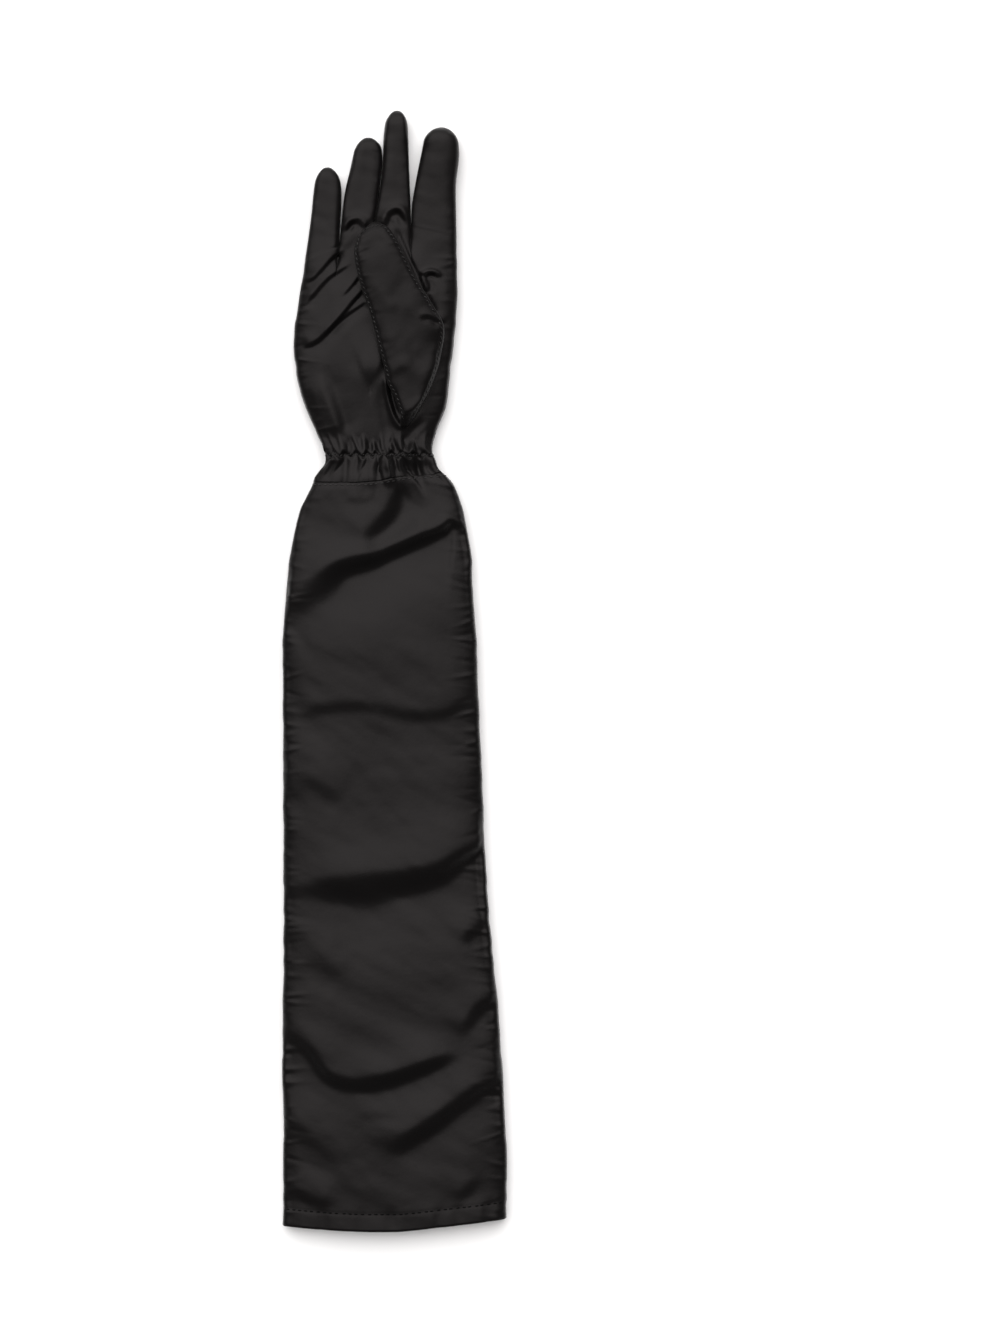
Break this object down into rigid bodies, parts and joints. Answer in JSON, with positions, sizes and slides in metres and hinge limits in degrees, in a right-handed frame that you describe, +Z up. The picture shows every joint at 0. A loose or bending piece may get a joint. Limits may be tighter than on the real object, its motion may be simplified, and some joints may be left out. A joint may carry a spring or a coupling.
{
  "type": "long opera glove, lying flat",
  "caption": "Long soft glove lying flat on its back, palm up, with the thumb folded over the palm, a gathered wrist and an arm-length sleeve with a hemmed mouth.",
  "frame": {"origin": "on the surface that the glove lies on, under the middle of its length and width", "axes": "+Y towards the fingertips, +X towards the index finger's side, +Z up out of the palm"},
  "size_m": [0.12, 0.6, 0.0221],
  "materials": {
    "satin": "near-black silk satin, soft sheen along the weave",
    "finger_strips": "near-black silk satin, narrow strips",
    "hem": "near-black silk satin, turned up and stitched",
    "thread": "near-black sewing thread, slightly glossy"
  },
  "bodies": {
    "root": {"palm_panel": "satin", "hand_back_panel": "satin", "fourchette_pinky_ring": "finger_strips", "fourchette_ring_middle": "finger_strips", "fourchette_middle_index": "finger_strips", "thumb_front_panel": "satin", "thumb_back_panel": "satin", "sleeve_front_panel": "satin", "sleeve_back_panel": "satin", "hem_band": "hem"}
  },
  "joints": []
}
